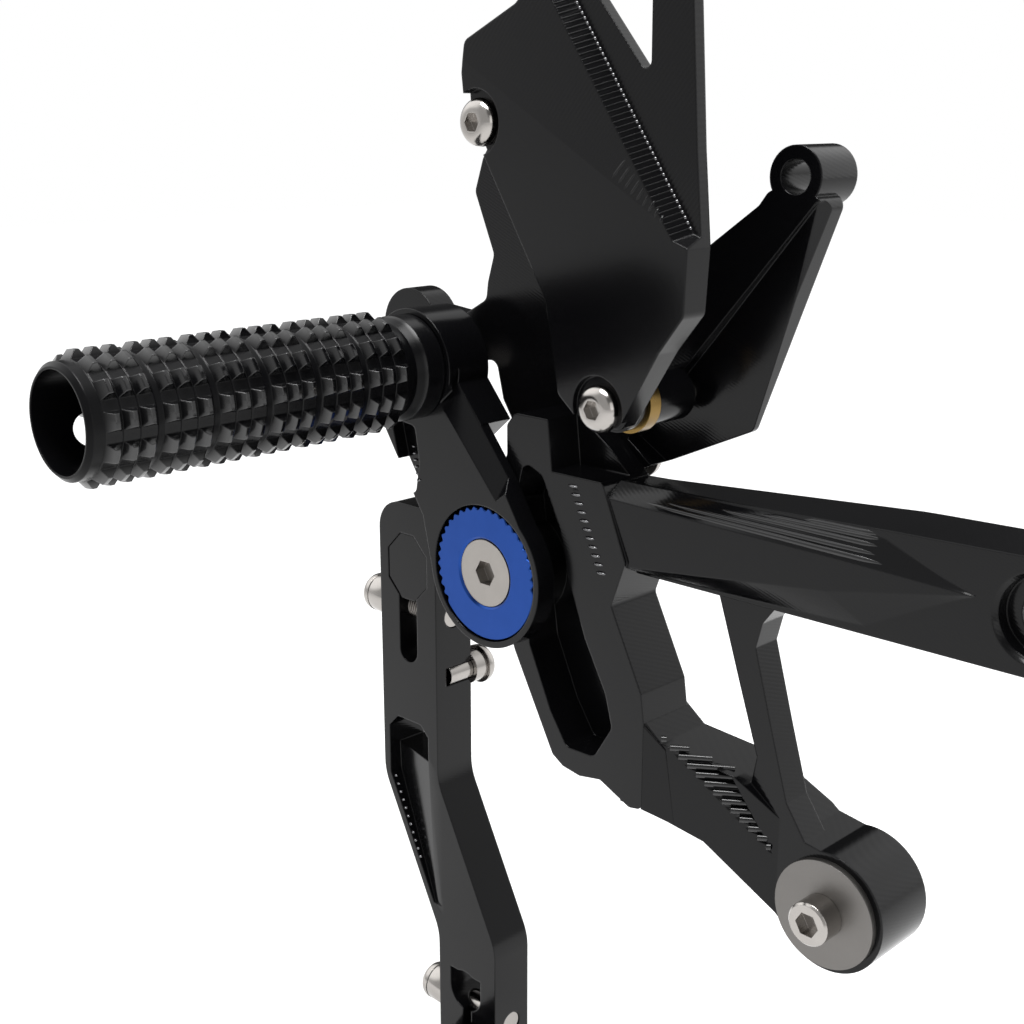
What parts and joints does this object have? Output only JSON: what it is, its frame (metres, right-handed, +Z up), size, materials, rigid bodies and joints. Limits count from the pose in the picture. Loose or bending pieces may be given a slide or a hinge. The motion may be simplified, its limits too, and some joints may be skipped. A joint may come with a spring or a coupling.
{
  "type": "motorcycle rear set footrest",
  "caption": "Machined black rear set: bracket with two frame arms, knurled footpeg on a toothed adjuster, heel guard and a pivoting foot lever with a toe peg.",
  "frame": {"origin": "axis of the frame bolt bore in the end of the long bracket arm, at its inboard face", "axes": "+Y inboard toward the motorcycle frame, the footpeg points along -Y; -X forward, +X rearward; +Z up"},
  "size_m": [0.2067, 0.141, 0.3057],
  "materials": {
    "black_anodised": "satin black anodised",
    "blue_anodised": "satin blue anodised",
    "steel": "satin stainless",
    "washer_steel": "dull plated",
    "brass": "turned"
  },
  "bodies": {
    "bracket": {"main_bracket": "black_anodised", "carrier_plate": "black_anodised", "heel_guard": "black_anodised", "guard_spacers": "black_anodised", "frame_collar": "black_anodised", "guard_screws": "steel", "plate_screws": "steel", "adjuster_screw": "steel", "lower_bolt": "steel", "brass_bush": "brass", "shaft_bushes": "brass", "lower_washer": "washer_steel"},
    "foot_lever": {"lever": "black_anodised", "lever_shaft": "black_anodised", "shaft_keeper": "steel", "keeper_screw": "steel", "pinch_screws": "steel", "pinch_sleeves": "black_anodised", "rod_bolt": "steel", "rod_spacer": "steel", "toe_peg": "black_anodised"},
    "footrest": {"peg_arm": "black_anodised", "adjuster_disc": "blue_anodised", "footpeg": "black_anodised", "footpeg_bolt": "steel"}
  },
  "joints": [
    {"name": "lever_pivot", "type": "hinge", "parent": "bracket", "child": "foot_lever", "pos_m": [-0.1705, -0.004, -0.0264], "axis": [0, 1, 0], "range_deg": [-25, 25]},
    {"name": "footrest_adjust", "type": "hinge", "parent": "bracket", "child": "footrest", "pos_m": [-0.1345, -0.027, -0.0185], "axis": [0, 1, 0], "range_deg": [-15, 8]}
  ]
}
